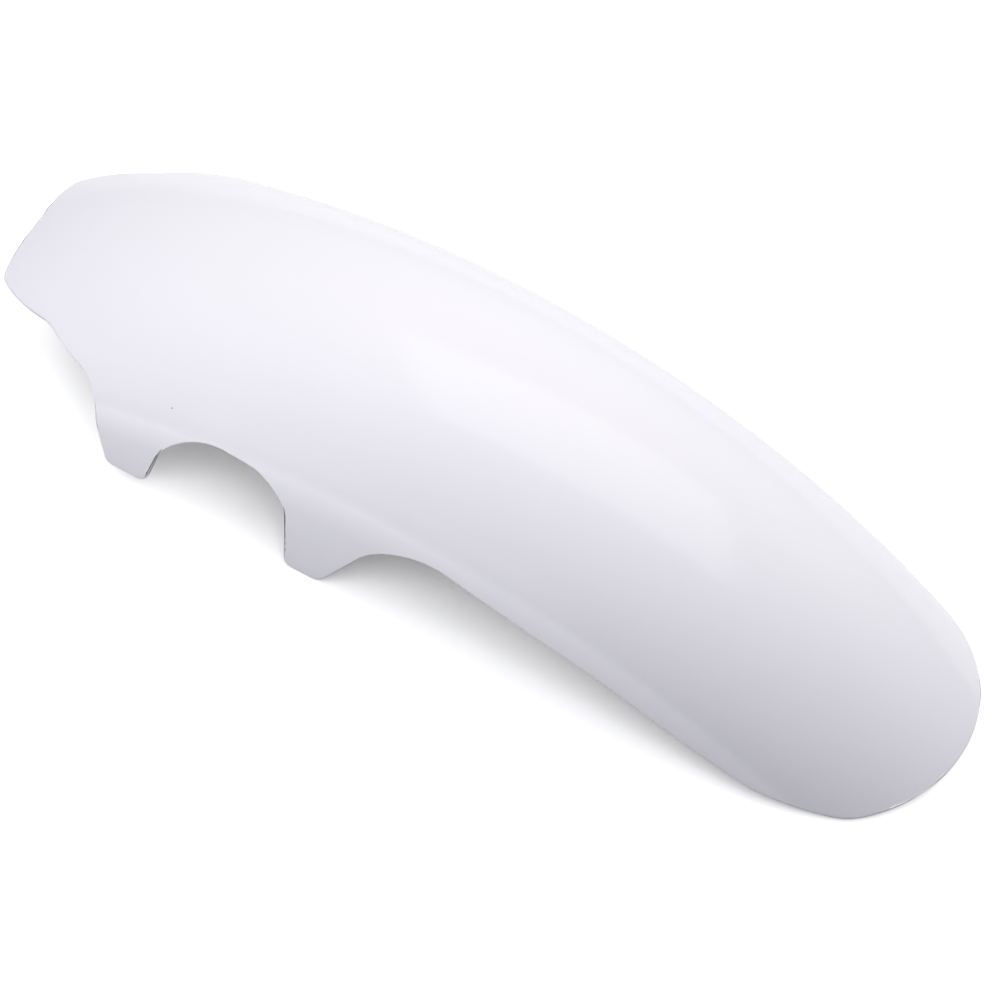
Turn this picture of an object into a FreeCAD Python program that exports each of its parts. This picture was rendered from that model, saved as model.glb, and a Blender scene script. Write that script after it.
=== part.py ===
"""Motorcycle mudguard: one moulded glass-fibre shell, open underneath.

Millimetres. X runs forward to the long rounded nose, Y across, Z up. The shell lies on its nose and on
its two front tabs, so Z = 0 is the surface under it. In the side view, x is first counted from the wheel
axle, and the finished shell is then moved so that the origin is under the middle of its box.
"""
import FreeCAD, Part
import math
import os

# Crown line in the side view: an arc about the axle, and a flatter arc from the join forward to the nose
CROWN_RADIUS = 345.0
NOSE_CROWN_RADIUS = 386.0
AXLE_DROP = 259.4
JOIN_ANGLE = 9.6

# Section across the shell: half an ellipse on straight side walls, shallower toward the tail
HALF_WIDTH = 67.0
FORK_DEPTH = 49.0
TAIL_DEPTH = 32.0
TAIL_ANGLE = 42.0
SKIRT_DEPTH = 60.0
WALL = 3.0

# Stations of the sections, evenly spaced, as angles from the join
FIRST_STATION = -50.0
LAST_STATION = 40.0
STATION_COUNT = 8

# Trimmed lower edge in the side view, from the tail to the nose: x, z and corner radius
TAIL_CORNER = (-186.0, 28.2, 2.0)
TAIL_RISE = (-155.0, 39.0, 27.0)
TAIL_ARCH = (-125.0, 40.0, 14.0)
REAR_TAB_BACK = (-113.2, 5.5, 5.0)
REAR_TAB_FRONT = (-96.2, 5.5, 4.5)
NOTCH_BACK = (-89.5, 46.0, 27.0)
NOTCH_FRONT = (-40.0, 46.0, 20.0)
FRONT_TAB_BACK = (-34.2, 0.2, 4.0)
FRONT_TAB_FRONT = (-18.7, 0.2, 6.0)
BELLY_START = (5.5, 48.0, 32.0)
BELLY_BEND = (97.0, 28.2, 280.0)
NOSE_START = (166.0, 6.6, 55.0)
NOSE_LOW = (203.0, 1.8, 36.0)
NOSE_EXIT = (260.0, 10.6, 0.0)

# Room that the trimming prism leaves above the crown and beside the walls
CLEAR_ABOVE = 150.0
CLEAR_BESIDE = 100.0

THICKENING_TOLERANCE = 0.001


def crown_frame(station):
    """Point on the crown line and the outward direction there, at a station angle from the join."""
    angle = math.radians(JOIN_ANGLE + station)
    out = FreeCAD.Vector(math.sin(angle), 0, math.cos(angle))
    axle = FreeCAD.Vector(0, 0, -AXLE_DROP)
    if station <= 0:
        return axle + out * CROWN_RADIUS, out
    join = math.radians(JOIN_ANGLE)
    join_out = FreeCAD.Vector(math.sin(join), 0, math.cos(join))
    nose_centre = axle - join_out * (NOSE_CROWN_RADIUS - CROWN_RADIUS)
    return nose_centre + out * NOSE_CROWN_RADIUS, out


def section_depth(station):
    """Depth of the half ellipse: full from the join forward, easing to the tail's depth behind it."""
    ease = min(station, 0) / TAIL_ANGLE
    return FORK_DEPTH - (FORK_DEPTH - TAIL_DEPTH) * ease ** 2


def section_wire(station):
    """Open section of the outer skin: a side wall, the half ellipse over the crown, a side wall."""
    crown, out = crown_frame(station)
    depth = section_depth(station)
    middle = crown - out * depth
    ellipse = Part.Ellipse(middle + FreeCAD.Vector(0, HALF_WIDTH, 0), crown, middle)
    arch = Part.ArcOfEllipse(ellipse, 0, math.pi).toShape()
    left = arch.Vertexes[0].Point
    right = arch.Vertexes[-1].Point
    left_wall = Part.makeLine(left - out * SKIRT_DEPTH, left)
    right_wall = Part.makeLine(right, right - out * SKIRT_DEPTH)
    return Part.Wire([left_wall, arch, right_wall])


def outer_skin():
    """Skin lofted through the sections, with its flat side walls remade as exact planes."""
    spacing = (LAST_STATION - FIRST_STATION) / (STATION_COUNT - 1)
    stations = [FIRST_STATION + spacing * number for number in range(STATION_COUNT)]
    lofted = Part.makeLoft([section_wire(station) for station in stations], False)
    faces = []
    for face in lofted.Faces:
        if face.Surface.isPlanar():
            side = FreeCAD.Vector(0, face.CenterOfMass.y, 0)
            face = Part.Face(Part.Plane(side, side), face.OuterWire)
        faces.append(face)
    skin = Part.Shell(faces)
    skin.sewShape()
    return skin


def rounded_wire(corners):
    """Closed wire in the XZ plane through the corners, with a tangent arc at each that has a radius."""
    points = [FreeCAD.Vector(x, 0, z) for x, z, radius in corners]
    edges = []
    ends = []
    for index, (x, z, radius) in enumerate(corners):
        corner = points[index]
        back = (points[index - 1] - corner).normalize()
        ahead = (points[(index + 1) % len(points)] - corner).normalize()
        half_angle = back.getAngle(ahead) / 2
        reach = radius / math.tan(half_angle)
        start = corner + back * reach
        end = corner + ahead * reach
        ends.append((start, end))
        if radius > 0:
            inward = (back + ahead).normalize()
            nearest = corner + inward * (radius / math.sin(half_angle) - radius)
            edges.append(Part.Arc(start, nearest, end).toShape())
    for index, (start, end) in enumerate(ends):
        edges.append(Part.makeLine(ends[index - 1][1], start))
    return Part.Wire(Part.__sortEdges__(edges))


def side_profile():
    """Prism across the shell whose lower edge is the trimmed edge seen from the side."""
    lower_edge = [TAIL_CORNER, TAIL_RISE, TAIL_ARCH, REAR_TAB_BACK, REAR_TAB_FRONT]
    lower_edge += [NOTCH_BACK, NOTCH_FRONT, FRONT_TAB_BACK, FRONT_TAB_FRONT]
    lower_edge += [BELLY_START, BELLY_BEND, NOSE_START, NOSE_LOW, NOSE_EXIT]
    above_nose = (NOSE_EXIT[0], CLEAR_ABOVE, 0)
    above_tail = (TAIL_CORNER[0], CLEAR_ABOVE, 0)
    face = Part.Face(rounded_wire(lower_edge + [above_nose, above_tail]))
    face.translate(FreeCAD.Vector(0, -CLEAR_BESIDE, 0))
    return face.extrude(FreeCAD.Vector(0, 2 * CLEAR_BESIDE, 0))


def mudguard_shell():
    """Outer skin trimmed to the side profile, then thickened inward, so that its edges are square to it."""
    trimmed = outer_skin().common(side_profile())
    skin = trimmed.Shells[0]
    return skin.makeOffsetShape(-WALL, THICKENING_TOLERANCE, fill=True)


def centred(shape):
    """The shape moved so that the origin is under the middle of its box."""
    box = shape.optimalBoundingBox(False)
    shape.translate(FreeCAD.Vector(-box.Center.x, -box.Center.y, -box.ZMin))
    return shape


os.makedirs("parts", exist_ok=True)
guard = centred(mudguard_shell())
guard.exportStep("parts/mudguard_shell.step")
print("solids", len(guard.Solids), "valid", guard.isValid(), "volume", round(guard.Volume))
print("size", guard.optimalBoundingBox(False))
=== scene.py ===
# %% [markdown]
# # A white motorcycle mudguard
#
# The real thing is one thin moulding. White gelcoat was brushed into a polished mould, mats of chopped
# glass fibre and resin were laid on the back of it, and the edge was sawn to a line when the resin had set.
# So the outside is glossy, the inside is bare laminate, and the sawn edge shows both.
# The CAD part fixes the size and the place, and this script makes the finish around it.

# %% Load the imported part
import math

import bpy
import numpy as np
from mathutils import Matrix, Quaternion, Vector, noise


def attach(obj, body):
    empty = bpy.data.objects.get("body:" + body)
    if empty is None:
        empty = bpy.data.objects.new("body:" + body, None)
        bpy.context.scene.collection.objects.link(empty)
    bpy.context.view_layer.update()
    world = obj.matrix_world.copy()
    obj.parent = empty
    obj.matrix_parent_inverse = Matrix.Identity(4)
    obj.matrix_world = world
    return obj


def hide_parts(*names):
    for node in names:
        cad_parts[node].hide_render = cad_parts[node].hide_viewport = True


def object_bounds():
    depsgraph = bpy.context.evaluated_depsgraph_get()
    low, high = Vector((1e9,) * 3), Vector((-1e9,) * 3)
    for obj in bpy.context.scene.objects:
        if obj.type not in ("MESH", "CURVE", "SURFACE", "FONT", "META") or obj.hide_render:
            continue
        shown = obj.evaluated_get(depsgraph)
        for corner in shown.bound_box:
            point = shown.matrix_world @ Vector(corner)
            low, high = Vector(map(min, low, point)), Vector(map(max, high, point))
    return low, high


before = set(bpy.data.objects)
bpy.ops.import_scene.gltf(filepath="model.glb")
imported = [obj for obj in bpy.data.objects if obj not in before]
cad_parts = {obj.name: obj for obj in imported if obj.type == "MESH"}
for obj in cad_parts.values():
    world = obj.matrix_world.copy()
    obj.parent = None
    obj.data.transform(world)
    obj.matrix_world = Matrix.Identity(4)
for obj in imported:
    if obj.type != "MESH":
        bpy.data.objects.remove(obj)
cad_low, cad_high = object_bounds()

print("CAD box", [round(value, 4) for value in (*cad_low, *cad_high)])

# %% [markdown]
# ## The skin in the side view
#
# A mudguard follows the wheel, so its crown is an arc about the axle, and a flatter arc carries on to the
# nose. Across the wheel, each section is half an ellipse that stands on straight side walls.
# Seen from the side, every point of the skin then has one depth below the crown, and that depth alone gives
# the half width and the direction in which the skin faces. A formula like this gives a finer and more even
# surface than facets read from a solid, and a glossy finish shows every facet.

# %% Crown, section and where the CAD part put them
MM = 0.001
CROWN_RADIUS = 345.0
NOSE_CROWN_RADIUS = 386.0
AXLE_DROP = 259.4
JOIN_ANGLE = math.radians(9.6)
HALF_WIDTH = 67.0
FORK_DEPTH = 49.0
TAIL_DEPTH = 32.0
TAIL_ANGLE = math.radians(42.0)
WALL = 3.0

CENTRE_GAP = NOSE_CROWN_RADIUS - CROWN_RADIUS
NOSE_CENTRE_X = -CENTRE_GAP * math.sin(JOIN_ANGLE)
NOSE_CENTRE_Z = -AXLE_DROP - CENTRE_GAP * math.cos(JOIN_ANGLE)


def skin_at(x, z):
    """Half width of the outer skin over points of the side view, and the way it faces there."""
    in_nose = np.arctan2(x, z + AXLE_DROP) > JOIN_ANGLE
    along = x - np.where(in_nose, NOSE_CENTRE_X, 0.0)
    up = z - np.where(in_nose, NOSE_CENTRE_Z, -AXLE_DROP)
    crown = np.where(in_nose, NOSE_CROWN_RADIUS, CROWN_RADIUS)
    reach = np.hypot(along, up)
    ease = np.minimum(np.arctan2(along, up) - JOIN_ANGLE, 0.0) / TAIL_ANGLE
    depth = FORK_DEPTH - (FORK_DEPTH - TAIL_DEPTH) * ease ** 2
    depth_change = -2.0 * (FORK_DEPTH - TAIL_DEPTH) * ease / TAIL_ANGLE
    level = np.clip((reach - crown + depth) / depth, 0.0, 1.0)
    half_width = HALF_WIDTH * np.sqrt(1.0 - level ** 2)
    outward = level / depth
    around = level * (crown - reach) / depth ** 2 * depth_change / reach
    facing = np.stack([outward * along / reach + around * up / reach,
                       half_width / HALF_WIDTH ** 2,
                       outward * up / reach - around * along / reach], axis=-1)
    return half_width, facing / np.linalg.norm(facing, axis=-1, keepdims=True)


def crown_height(x):
    """Height of the crown line over x in the side view."""
    rear = np.sqrt(CROWN_RADIUS ** 2 - x ** 2) - AXLE_DROP
    nose = np.sqrt(NOSE_CROWN_RADIUS ** 2 - (x - NOSE_CENTRE_X) ** 2) + NOSE_CENTRE_Z
    return np.where(x > CROWN_RADIUS * math.sin(JOIN_ANGLE), nose, rear)


print("crown over the axle", round(float(crown_height(np.array(0.0))), 1), "mm above the floor")

# %% [markdown]
# ## The sawn lower edge
#
# The edge runs from the tail up over an arch, round two tabs with the fork notch between them, and along a
# sweep to the nose. It is a chain of straight runs and tangent arcs, the way it was marked out for the saw.
# The same corners are in the CAD part. Arcs worked out here stay round at any zoom.

# %% Trace the lower edge
EDGE_STEP = 0.2
TAIL_X = -186.0
TAB_LOW = 0.2
LOWER_EDGE = [
    (TAIL_X, 28.2, 2.0),
    (-155.0, 39.0, 27.0),
    (-125.0, 40.0, 14.0),
    (-113.2, 5.5, 5.0),
    (-96.2, 5.5, 4.5),
    (-89.5, 46.0, 27.0),
    (-40.0, 46.0, 20.0),
    (-34.2, TAB_LOW, 4.0),
    (-18.7, TAB_LOW, 6.0),
    (5.5, 48.0, 32.0),
    (97.0, 28.2, 280.0),
    (166.0, 6.6, 55.0),
    (203.0, 1.8, 36.0),
]
NOSE_EXIT = (260.0, 10.6)


def unit(vector):
    """The vector at length one, along its last axis."""
    return vector / np.linalg.norm(vector, axis=-1, keepdims=True)


def spaced(points, distances):
    """Points at the given distances along a line of points."""
    runs = np.linalg.norm(np.diff(points, axis=0), axis=1)
    walked = np.concatenate([[0.0], np.cumsum(runs)])
    return np.stack([np.interp(distances, walked, column) for column in points.T], axis=1), walked[-1]


def rounded_line(start, corners, end):
    """Points from start to end, with a tangent arc at each corner."""
    stops = [np.array(start)] + [np.array(corner[:2]) for corner in corners] + [np.array(end)]
    line = [stops[0]]
    for before, here, after, (_, _, radius) in zip(stops, stops[1:], stops[2:], corners):
        back = unit(before - here)
        ahead = unit(after - here)
        half = math.acos(back @ ahead) / 2
        centre = here + unit(back + ahead) * radius / math.sin(half)
        turn = math.pi - 2 * half
        first = here + back * radius / math.tan(half) - centre
        last = here + ahead * radius / math.tan(half) - centre
        for part in np.linspace(0, 1, 2 + int(turn * radius / EDGE_STEP)):
            swing = math.sin((1 - part) * turn) * first + math.sin(part * turn) * last
            line.append(centre + swing / math.sin(turn))
    line.append(stops[-1])
    line = np.array(line)
    _, length = spaced(line, [0.0])
    return spaced(line, np.arange(0, length, EDGE_STEP))[0]


tail_top = (TAIL_X, float(crown_height(np.array(TAIL_X))))
edge = rounded_line(tail_top, LOWER_EDGE, NOSE_EXIT)
below_crown = crown_height(edge[:, 0]) - edge[:, 1]
inside = int(np.nonzero(below_crown > 1e-9)[0].max())
share = below_crown[inside] / (below_crown[inside] - below_crown[inside + 1])
nose_tip = edge[inside] + share * (edge[inside + 1] - edge[inside])
edge = np.vstack([edge[:inside + 1], nose_tip])
print("lower edge from", edge[0].round(1), "to", nose_tip.round(1))

# %% [markdown]
# ## Ribs from edge to edge
#
# The skin could be cut from a larger sheet with a Boolean, which leaves slivers along the edge.
# Here ribs start from evenly spaced points of the edge, run up the skin to the crown and down the other
# side, so each row of quads ends on the edge itself. Their feet on the crown are smoothed, which fans the
# ribs out above the tabs.

# %% Lay the ribs
RIB_COUNT = 420
HALF_RIB_POINTS = 40
RIB_SAMPLES = 240
TAIL_RIB_HALF_WIDTH = 6.0
NOSE_RIB_HALF_WIDTH = 24.0
FOOT_SMOOTHING = 22

edge_half, _ = skin_at(edge[:, 0], edge[:, 1])
first = int(np.nonzero(edge_half > TAIL_RIB_HALF_WIDTH)[0].min())
last = int(np.nonzero(edge_half > NOSE_RIB_HALF_WIDTH)[0].max())
side_edge = np.column_stack([edge[first:last + 1], edge_half[first:last + 1]])
_, edge_length = spaced(side_edge, [0.0])
starts, _ = spaced(side_edge, np.linspace(0, edge_length, RIB_COUNT))

reflected = np.concatenate([2 * starts[0, 0] - starts[:0:-1, 0], starts[:, 0],
                            2 * starts[-1, 0] - starts[-2::-1, 0]])
window = np.exp(-0.5 * (np.arange(-3 * FOOT_SMOOTHING, 3 * FOOT_SMOOTHING + 1) / FOOT_SMOOTHING) ** 2)
smooth_x = np.convolve(reflected, window / window.sum(), mode="same")[RIB_COUNT - 1:2 * RIB_COUNT - 1]
stretch = (nose_tip[0] - TAIL_X) / (smooth_x[-1] - smooth_x[0])
feet_x = TAIL_X + (smooth_x - smooth_x[0]) * stretch
feet = np.column_stack([feet_x, crown_height(feet_x)])
feet[-1] = nose_tip

climb = 1 - (1 - np.linspace(0, 1, RIB_SAMPLES)) ** 2
side_points = np.zeros((RIB_COUNT, 2 * HALF_RIB_POINTS + 1, 2))
girth = np.zeros((RIB_COUNT, 2 * HALF_RIB_POINTS + 1))
for number in range(RIB_COUNT):
    rib = starts[number, :2] + climb[:, None] * (feet[number] - starts[number, :2])
    rib_half, _ = skin_at(rib[:, 0], rib[:, 1])
    rib_half[-1] = 0.0
    solid_rib = np.column_stack([rib, rib_half])
    _, rib_length = spaced(solid_rib, [0.0])
    walked = np.linspace(0, rib_length, HALF_RIB_POINTS + 1)
    points, _ = spaced(solid_rib, walked)
    side_points[number, :HALF_RIB_POINTS + 1] = points[:, :2]
    side_points[number, HALF_RIB_POINTS:] = points[::-1, :2]
    girth[number, :HALF_RIB_POINTS + 1] = walked - rib_length
    girth[number, HALF_RIB_POINTS:] = rib_length - walked[::-1]

half_width, facing = skin_at(side_points[..., 0], side_points[..., 1])
half_width[:, HALF_RIB_POINTS] = 0.0
side_sign = np.sign(np.arange(2 * HALF_RIB_POINTS + 1) - HALF_RIB_POINTS)
outer = np.stack([side_points[..., 0], half_width * side_sign, side_points[..., 1]], axis=-1)
facing[..., 1] *= side_sign
facing = unit(facing)
print("longest rib", round(float(girth.max() * 2), 1), "mm,", RIB_COUNT, "ribs")

# %% [markdown]
# ## Wall and rim
#
# The laminate is 3 mm thick. Its outer corner was rubbed down after sawing, so it is a little rounder than
# the inner one. A Solidify and a Bevel modifier would do this on a plain sheet. Here the rim is swept round
# the edge loop, because the same rows then carry the sawn material between gelcoat and laminate.
# The inside was laid by hand, so it waves by a fifth of a millimetre.

# %% Sweep the rim and offset the inside
OUTER_ROUND = 0.7
INNER_ROUND = 0.4
ROUND_STEPS = 4
WAVE_HEIGHT = 0.16
WAVE_LENGTH = 16.0
RIPPLE_HEIGHT = 0.06
RIPPLE_LENGTH = 5.0

columns = 2 * HALF_RIB_POINTS + 1
near_side = [(number, 0) for number in range(RIB_COUNT)]
nose_side = [(RIB_COUNT - 1, column) for column in range(1, columns - 1)]
far_side = [(number, columns - 1) for number in range(RIB_COUNT - 1, -1, -1)]
tail_side = [(0, column) for column in range(columns - 2, 0, -1)]
loop = np.array(near_side + nose_side + far_side + tail_side)
loop_points = outer[loop[:, 0], loop[:, 1]]
loop_facing = facing[loop[:, 0], loop[:, 1]]
loop_run = unit(np.roll(loop_points, -1, axis=0) - np.roll(loop_points, 1, axis=0))
loop_out = unit(np.cross(loop_run, loop_facing))

inner = outer - facing * WALL
for number in range(RIB_COUNT):
    for column in range(columns):
        spot = Vector(outer[number, column])
        wave = WAVE_HEIGHT * noise.noise(spot / WAVE_LENGTH)
        wave += RIPPLE_HEIGHT * noise.noise(spot / RIPPLE_LENGTH)
        inner[number, column] += facing[number, column] * wave
outer[loop[:, 0], loop[:, 1]] = loop_points - OUTER_ROUND * loop_out
inner[loop[:, 0], loop[:, 1]] = loop_points - WALL * loop_facing - INNER_ROUND * loop_out

quarter = np.linspace(0, math.pi / 2, ROUND_STEPS + 1)
rim_rows = []
for angle in quarter[1:]:
    sunk = OUTER_ROUND * (1 - math.cos(angle))
    drawn_in = OUTER_ROUND * (1 - math.sin(angle))
    rim_rows.append(loop_points - sunk * loop_facing - drawn_in * loop_out)
for angle in quarter[:-1]:
    sunk = WALL - INNER_ROUND * (1 - math.sin(angle))
    drawn_in = INNER_ROUND * (1 - math.cos(angle))
    rim_rows.append(loop_points - sunk * loop_facing - drawn_in * loop_out)
print("rim loop of", len(loop), "points in", len(rim_rows), "rows")

# %% [markdown]
# ## One closed mesh
#
# The outside, the rim and the inside share their vertices, so the mesh is closed, as the CAD solid is.
# Each face keeps the number of the finish it will have. The UV map holds real distances along the crown
# and across it, which lets the fibre pattern keep its true size inside.

# %% Join the skins and the rim into one mesh
GELCOAT, LAMINATE, SAWN = 0, 1, 2
to_part_frame = np.array([cad_low.x / MM - TAIL_X, 0.0, cad_low.z / MM - TAB_LOW])
skin_size = RIB_COUNT * columns
rim_size = len(loop)
vertices = np.concatenate([outer.reshape(-1, 3), inner.reshape(-1, 3)] + rim_rows)
vertices = (vertices + to_part_frame) * MM

faces = []
finishes = []
for number in range(RIB_COUNT - 1):
    for column in range(columns - 1):
        corner = number * columns + column
        quad = [corner, corner + columns, corner + columns + 1, corner + 1]
        faces.append(quad)
        finishes.append(GELCOAT)
        faces.append([skin_size + index for index in reversed(quad)])
        finishes.append(LAMINATE)

loop_index = loop[:, 0] * columns + loop[:, 1]
rings = [loop_index]
rings += [2 * skin_size + row * rim_size + np.arange(rim_size) for row in range(len(rim_rows))]
rings += [skin_size + loop_index]
for row, (above, below) in enumerate(zip(rings, rings[1:])):
    finish = SAWN
    if row < ROUND_STEPS:
        finish = GELCOAT
    if row > ROUND_STEPS:
        finish = LAMINATE
    for here in range(rim_size):
        there = (here + 1) % rim_size
        faces.append([above[here], below[here], below[there], above[there]])
        finishes.append(finish)

shell_mesh = bpy.data.meshes.new("mudguard")
shell_mesh.from_pydata(vertices.tolist(), [], [[int(index) for index in face] for face in faces])
shell_mesh.polygons.foreach_set("material_index", finishes)
shell_mesh.polygons.foreach_set("use_smooth", [True] * len(faces))

crown_distance = np.arctan2(side_points[..., 0], side_points[..., 1] + AXLE_DROP) * CROWN_RADIUS
flat = np.stack([crown_distance, girth], axis=-1).reshape(-1, 2) * MM
rim_flat = flat[loop_index]
flat = np.concatenate([flat, flat] + [rim_flat] * len(rim_rows))
uv_layer = shell_mesh.uv_layers.new(name="crown_and_girth")
corner_vertices = np.zeros(len(shell_mesh.loops), dtype=np.int32)
shell_mesh.loops.foreach_get("vertex_index", corner_vertices)
uv_layer.data.foreach_set("uv", flat[corner_vertices].ravel())
shell_mesh.validate()
shell_mesh.update()

mudguard = bpy.data.objects.new("mudguard", shell_mesh)
bpy.context.scene.collection.objects.link(mudguard)
print("mudguard mesh", len(shell_mesh.vertices), "vertices,", len(shell_mesh.polygons), "faces")

# %% [markdown]
# ## A helper for materials
#
# Colours are written as the sRGB hex values that a paint chart or a colour picker gives. Cycles works in
# linear light, so one function turns them. Another adds a node, sets it up and links it.

# %% Colour and node helpers
def linear(hex_colour):
    """Linear RGBA of an sRGB hex colour."""
    channels = [int(hex_colour[start:start + 2], 16) / 255 for start in (1, 3, 5)]
    curve = [value / 12.92 if value <= 0.04045 else ((value + 0.055) / 1.055) ** 2.4 for value in channels]
    return (*curve, 1.0)


def add(tree, kind, settings=None, values=None, links=None):
    """Adds a node, gives its properties and input values, and links its inputs to outputs."""
    node = tree.nodes.new(kind)
    for name, value in (settings or {}).items():
        setattr(node, name, value)
    for socket, value in (values or {}).items():
        node.inputs[socket].default_value = value
    for socket, output in (links or {}).items():
        tree.links.new(output, node.inputs[socket])
    return node


def new_material(name):
    """An empty node material and its tree, with the output node."""
    material = bpy.data.materials.new(name)
    material.use_nodes = True
    material.node_tree.nodes.clear()
    return material, material.node_tree, add(material.node_tree, "ShaderNodeOutputMaterial")


print("a white of #F4F3F8 is", [round(value, 3) for value in linear("#F4F3F8")[:3]], "in linear light")

# %% [markdown]
# ## White polyester gelcoat
#
# Gelcoat is pigmented polyester that copies a polished mould, so it is smooth and clear-edged in its
# reflections. Its index of refraction is about 1.55. Two things keep it from looking like porcelain:
# the fibre mat behind it prints through as a faint waviness some 8 mm long and a hundredth of a millimetre
# high, and the wax of the mould leaves patches that are a little duller. A finer orange peel lies over both.
# A pinhole from an air bubble shows as a grey speck above the rear tab.

# %% Make the gelcoat
PRINT_LENGTH = 8.0
PRINT_HEIGHT = 0.012
PEEL_LENGTH = 1.6
PEEL_HEIGHT = 0.0012
PATCH_LENGTH = 60.0
POLISHED, DULLED = 0.10, 0.16
PINHOLE_RADIUS = 0.45
PINHOLE_PLACE = (-0.1147, -0.0597, 0.0485)

gelcoat, tree, output = new_material("white_polyester_gelcoat")
place = add(tree, "ShaderNodeTexCoord").outputs["Object"]
patches = add(tree, "ShaderNodeTexNoise", values={"Scale": 1 / (PATCH_LENGTH * MM), "Detail": 3.0},
              links={"Vector": place}).outputs["Fac"]
tint = add(tree, "ShaderNodeMix", {"data_type": "RGBA"},
           {6: linear("#F1F0F7"), 7: linear("#F4F3F8")}, {"Factor": patches}).outputs[2]
from_pinhole = add(tree, "ShaderNodeVectorMath", {"operation": "DISTANCE"}, {1: PINHOLE_PLACE},
                   {0: place}).outputs["Value"]
pinhole = add(tree, "ShaderNodeMapRange", {"interpolation_type": "SMOOTHSTEP"},
              {"From Min": 0.4 * PINHOLE_RADIUS * MM, "From Max": PINHOLE_RADIUS * MM},
              {"Value": from_pinhole}).outputs["Result"]
colour = add(tree, "ShaderNodeMix", {"data_type": "RGBA"}, {6: linear("#A9A5AC")},
             {"Factor": pinhole, 7: tint}).outputs[2]
dullness = add(tree, "ShaderNodeMapRange", None,
               {"From Min": 0.3, "From Max": 0.7, "To Min": POLISHED, "To Max": DULLED},
               {"Value": patches}).outputs["Result"]
print_wave = add(tree, "ShaderNodeTexNoise", values={"Scale": 1 / (PRINT_LENGTH * MM), "Detail": 2.0},
                 links={"Vector": place}).outputs["Fac"]
peel = add(tree, "ShaderNodeTexNoise", values={"Scale": 1 / (PEEL_LENGTH * MM), "Detail": 1.0},
           links={"Vector": place}).outputs["Fac"]
print_bump = add(tree, "ShaderNodeBump", None, {"Strength": 1.0, "Distance": PRINT_HEIGHT * MM},
                 {"Height": print_wave}).outputs["Normal"]
peel_bump = add(tree, "ShaderNodeBump", None, {"Strength": 1.0, "Distance": PEEL_HEIGHT * MM},
                {"Height": peel, "Normal": print_bump}).outputs["Normal"]
shader = add(tree, "ShaderNodeBsdfPrincipled", None, {"IOR": 1.55},
             {"Base Color": colour, "Roughness": dullness, "Normal": peel_bump})
tree.links.new(shader.outputs["BSDF"], output.inputs["Surface"])
print("gelcoat nodes", len(tree.nodes))

# %% [markdown]
# ## Bare laminate
#
# Inside, the last layer of chopped-strand mat shows through clear polyester. The strands are bundles about
# 50 mm long and 1 mm wide that lie in all directions, paler than the greenish resin around them, and the
# resin has wetted them out to a lumpy half gloss. Four crossed fields of long, thin noise give the strands.
# They are drawn 1.3 mm wide, a little coarser than real, so that they show.

# %% Make the laminate
STRAND_LENGTH = 30.0
STRAND_WIDTH = 1.3
STRAND_HEIGHT = 0.12
STRAND_DIRECTIONS = (0.2, 0.95, 1.75, 2.6)
RESIN_CLOUDS_PER_METRE = 55.0
WET_RESIN, DRY_STRAND = 0.26, 0.5

laminate, tree, output = new_material("bare_glass_fibre_laminate")
skin_place = add(tree, "ShaderNodeUVMap", {"uv_map": "crown_and_girth"}).outputs["UV"]
strands = None
for direction in STRAND_DIRECTIONS:
    turned = add(tree, "ShaderNodeMapping", {"vector_type": "TEXTURE"},
                 {"Rotation": (0.0, 0.0, direction), "Location": (direction, 0.0, 0.0),
                  "Scale": (STRAND_LENGTH * MM, STRAND_WIDTH * MM, 1.0)},
                 {"Vector": skin_place}).outputs["Vector"]
    field = add(tree, "ShaderNodeTexNoise", {"noise_dimensions": "2D"},
                {"Scale": 1.0, "Detail": 1.0, "Distortion": 0.15}, {"Vector": turned}).outputs["Fac"]
    sharp = add(tree, "ShaderNodeMapRange", {"interpolation_type": "SMOOTHSTEP"},
                {"From Min": 0.54, "From Max": 0.66}, {"Value": field}).outputs["Result"]
    if strands is None:
        strands = sharp
    else:
        strands = add(tree, "ShaderNodeMath", {"operation": "MAXIMUM"},
                      links={0: strands, 1: sharp}).outputs["Value"]
resin_cloud = add(tree, "ShaderNodeTexNoise", {"noise_dimensions": "2D"},
                  {"Scale": RESIN_CLOUDS_PER_METRE, "Detail": 3.0}, {"Vector": skin_place}).outputs["Fac"]
resin = add(tree, "ShaderNodeMix", {"data_type": "RGBA"}, {6: linear("#C9CBB8"), 7: linear("#D9DACB")},
            {"Factor": resin_cloud}).outputs[2]
colour = add(tree, "ShaderNodeMix", {"data_type": "RGBA"}, {7: linear("#ECECE2")},
             {"Factor": strands, 6: resin}).outputs[2]
wetness = add(tree, "ShaderNodeMapRange", None, {"To Min": WET_RESIN, "To Max": DRY_STRAND},
              {"Value": strands}).outputs["Result"]
bump = add(tree, "ShaderNodeBump", None, {"Strength": 1.0, "Distance": STRAND_HEIGHT * MM},
           {"Height": strands}).outputs["Normal"]
shader = add(tree, "ShaderNodeBsdfPrincipled", None, {"IOR": 1.55},
             {"Base Color": colour, "Roughness": wetness, "Normal": bump})
tree.links.new(shader.outputs["BSDF"], output.inputs["Surface"])
print("laminate nodes", len(tree.nodes))

# %% [markdown]
# ## The sawn edge
#
# A diamond saw and a sanding block leave the laminate matt and pale. The cut fibre ends show as fine specks
# about 0.3 mm across, drawn here at 0.5 mm so that they show.

# %% Make the sawn edge
SPECK_SIZE = 0.5
SAW_MARK_HEIGHT = 0.05

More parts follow.
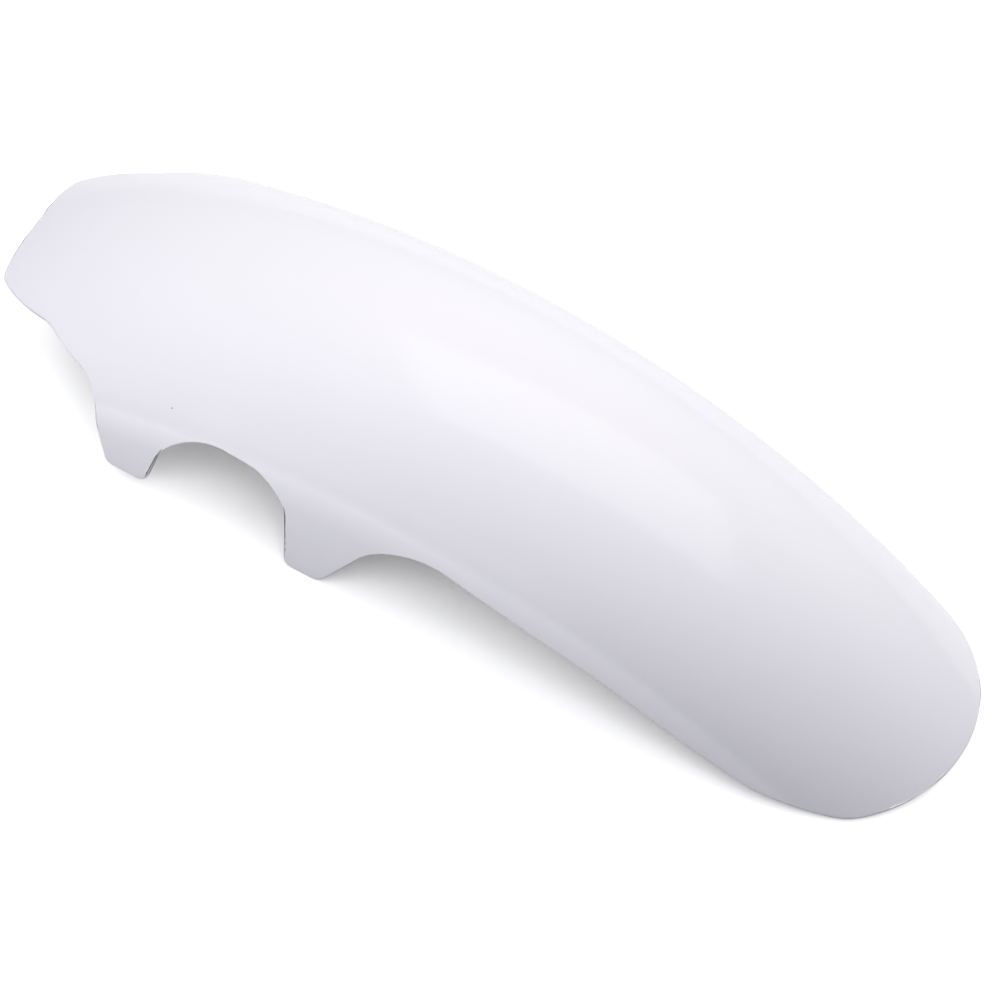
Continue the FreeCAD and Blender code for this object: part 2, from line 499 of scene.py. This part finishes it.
sawn, tree, output = new_material("sawn_glass_fibre_edge")
place = add(tree, "ShaderNodeTexCoord").outputs["Object"]
specks = add(tree, "ShaderNodeTexNoise", values={"Scale": 1 / (SPECK_SIZE * MM), "Detail": 2.0},
             links={"Vector": place}).outputs["Fac"]
colour = add(tree, "ShaderNodeMix", {"data_type": "RGBA"}, {6: linear("#CFCFC2"), 7: linear("#EDEDE8")},
             {"Factor": specks}).outputs[2]
bump = add(tree, "ShaderNodeBump", None, {"Strength": 1.0, "Distance": SAW_MARK_HEIGHT * MM},
           {"Height": specks}).outputs["Normal"]
shader = add(tree, "ShaderNodeBsdfPrincipled", None, {"IOR": 1.55, "Roughness": 0.65},
             {"Base Color": colour, "Normal": bump})
tree.links.new(shader.outputs["BSDF"], output.inputs["Surface"])

for material in (gelcoat, laminate, sawn):
    mudguard.data.materials.append(material)
print("finishes", [material.name for material in mudguard.data.materials])

# %% [markdown]
# ## Tie the mesh to the part
#
# The mudguard has no joints, so the CAD part has one body, root. The new mesh rides on it and stands for the
# CAD node, which stays hidden.

# %% Ride on the body and stand for the node
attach(mudguard, "root")
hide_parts("mudguard_shell")
print("mudguard rides on root")

# %% [markdown]
# ## Floor
#
# The photograph has a white ground that runs out of the picture, with a narrow soft shadow under the edge.
# To the camera and in reflections the floor is white paper. To light that bounces it is grey, so that the
# underside of the nose stays as grey as in the photograph. To the camera the paper also glows a little, as a
# light table does, which keeps the open sheet white. Ambient Occlusion gives the share of the sky that each
# spot of the floor can see. Where the shell covers the floor, the glow fades, which is a painted shadow: a
# narrow dark band at the edge, on top of the softer shadow that the lamps really cast there.

# %% Lay the floor
FLOOR_SIDE = 8.0
FLOOR_DROP = 0.0002
FLOOR_GLOW = 0.6
COVER_REACH = 0.3
SKY_DARK, SKY_CLEAR = 0.15, 0.36

floor_mesh = bpy.data.meshes.new("floor")
half_floor = FLOOR_SIDE / 2
floor_mesh.from_pydata([(-half_floor, -half_floor, -FLOOR_DROP), (half_floor, -half_floor, -FLOOR_DROP),
                        (half_floor, half_floor, -FLOOR_DROP), (-half_floor, half_floor, -FLOOR_DROP)],
                       [], [(0, 1, 2, 3)])
floor = bpy.data.objects.new("floor", floor_mesh)
bpy.context.scene.collection.objects.link(floor)

paper, tree, output = new_material("white_paper")
rays = add(tree, "ShaderNodeLightPath")
seen = add(tree, "ShaderNodeMath", {"operation": "MAXIMUM"},
           links={0: rays.outputs["Is Camera Ray"], 1: rays.outputs["Is Glossy Ray"]}).outputs["Value"]
seen = add(tree, "ShaderNodeMath", {"operation": "MAXIMUM"},
           links={0: seen, 1: rays.outputs["Is Transmission Ray"]}).outputs["Value"]
colour = add(tree, "ShaderNodeMix", {"data_type": "RGBA"}, {6: linear("#6E6E74"), 7: linear("#FCFCFD")},
             {"Factor": seen}).outputs[2]
sheet = add(tree, "ShaderNodeBsdfDiffuse", links={"Color": colour}).outputs["BSDF"]
# Painted shadow: the glow that only the camera sees fades where the shell covers the floor.
sky_seen = add(tree, "ShaderNodeAmbientOcclusion", {"samples": 8}, {"Distance": COVER_REACH}).outputs["AO"]
open_glow = add(tree, "ShaderNodeMapRange", {"interpolation_type": "SMOOTHSTEP"},
                {"From Min": SKY_DARK, "From Max": SKY_CLEAR, "To Max": FLOOR_GLOW},
                {"Value": sky_seen}).outputs["Result"]
glow_strength = add(tree, "ShaderNodeMath", {"operation": "MULTIPLY"},
                    links={0: open_glow, 1: rays.outputs["Is Camera Ray"]}).outputs["Value"]
glow = add(tree, "ShaderNodeEmission", links={"Strength": glow_strength}).outputs["Emission"]
shader = add(tree, "ShaderNodeAddShader", links={0: sheet, 1: glow})
tree.links.new(shader.outputs["Shader"], output.inputs["Surface"])
floor.data.materials.append(paper)
print("floor", FLOOR_SIDE, "m across")

# %% [markdown]
# ## Studio light
#
# The photograph's light is soft and comes from above and behind, like a white wall and ceiling. The near side
# turns away from it and goes grey towards the nose. A long softbox over the crown gives the pale streak.
# A low strip on the near side, towards the tail, lifts the tabs. It is hidden from reflections, because the
# photograph shows no second streak.

# %% Hang the lamps
def softbox(name, place, target, width, height, power, turn=0.0):
    """A rectangular area lamp that faces a target, turned about its own axis."""
    lamp = bpy.data.lights.new(name, "AREA")
    lamp.shape = "RECTANGLE"
    lamp.size = width
    lamp.size_y = height
    lamp.energy = power
    holder = bpy.data.objects.new(name, lamp)
    holder.location = place
    facing_target = (Vector(target) - Vector(place)).to_track_quat("-Z", "Y")
    holder.rotation_mode = "QUATERNION"
    holder.rotation_quaternion = facing_target @ Quaternion((0.0, 0.0, 1.0), math.radians(turn))
    bpy.context.scene.collection.objects.link(holder)
    return holder


softbox("streak_softbox", place=(0.15, 0.40, 1.20), target=(0.0, 0.0, 0.04), width=1.10, height=0.85,
        power=2.6, turn=35.0)
tab_strip = softbox("tab_strip", place=(-0.13, -0.36, 0.13), target=(-0.04, 0.0, 0.04), width=0.48,
                    height=0.15, power=0.78)
tab_strip.visible_glossy = False

# %% [markdown]
# ## The room
#
# The wall and ceiling are one smooth patch of light in the world, brightest behind the object and above it.
# Half of one plus the cosine to that direction runs from 0 to 1 round the sphere, and a power makes it
# narrower. The patch is a warm white, and the room away from it is bluer, as the shaded side is in the
# photograph.

# %% Light the room
ROOM_TOWARDS = (-0.08, 0.56, 0.825)
ROOM_STRENGTH = 1.95
ROOM_NARROWNESS = 4.0

world = bpy.data.worlds.new("studio")
bpy.context.scene.world = world
world.use_nodes = True
tree = world.node_tree
tree.nodes.clear()
direction = add(tree, "ShaderNodeTexCoord").outputs["Generated"]
cosine = add(tree, "ShaderNodeVectorMath", {"operation": "DOT_PRODUCT"}, {1: ROOM_TOWARDS},
             {0: direction}).outputs["Value"]
from_zero = add(tree, "ShaderNodeMath", {"operation": "MULTIPLY_ADD"}, {1: 0.5, 2: 0.5},
                {0: cosine}).outputs["Value"]
patch = add(tree, "ShaderNodeMath", {"operation": "POWER"}, {1: ROOM_NARROWNESS},
            {0: from_zero}).outputs["Value"]
strength = add(tree, "ShaderNodeMath", {"operation": "MULTIPLY"}, {1: ROOM_STRENGTH},
               {0: patch}).outputs["Value"]
colour = add(tree, "ShaderNodeMix", {"data_type": "RGBA"}, {6: linear("#DCE0FF"), 7: linear("#FFFCEE")},
             {"Factor": patch}).outputs[2]
room = add(tree, "ShaderNodeBackground", links={"Color": colour, "Strength": strength})
add(tree, "ShaderNodeOutputWorld", links={"Surface": room.outputs["Background"]})
print("room light towards", ROOM_TOWARDS)

# %% [markdown]
# ## Camera
#
# The picture was taken from above the right-hand side, a little towards the nose, with a long lens and the
# object turned on the page. These values were fitted to the outline of the object in the photograph.

# %% Place the camera
CAMERA_TARGET = Vector((0.00884, -0.02167, 0.040))
CAMERA_AZIMUTH = math.radians(14.637)
CAMERA_ELEVATION = math.radians(54.063)
CAMERA_ROLL = math.radians(-15.435)
CAMERA_DISTANCE = 2.0171
LENS = 190.57
SENSOR = 36.0

level_part = math.cos(CAMERA_ELEVATION)
backward = Vector((math.sin(CAMERA_AZIMUTH) * level_part, -math.cos(CAMERA_AZIMUTH) * level_part,
                   math.sin(CAMERA_ELEVATION)))
camera_data = bpy.data.cameras.new("camera")
camera_data.lens = LENS
camera_data.sensor_width = SENSOR
camera = bpy.data.objects.new("camera", camera_data)
camera.location = CAMERA_TARGET + backward * CAMERA_DISTANCE
upright = (-backward).to_track_quat("-Z", "Y")
camera.rotation_mode = "QUATERNION"
camera.rotation_quaternion = upright @ Quaternion((0.0, 0.0, 1.0), -CAMERA_ROLL)
bpy.context.scene.collection.objects.link(camera)
bpy.context.scene.camera = camera
bpy.context.scene.view_settings.view_transform = "Standard"
print("camera at", [round(value, 3) for value in camera.location])
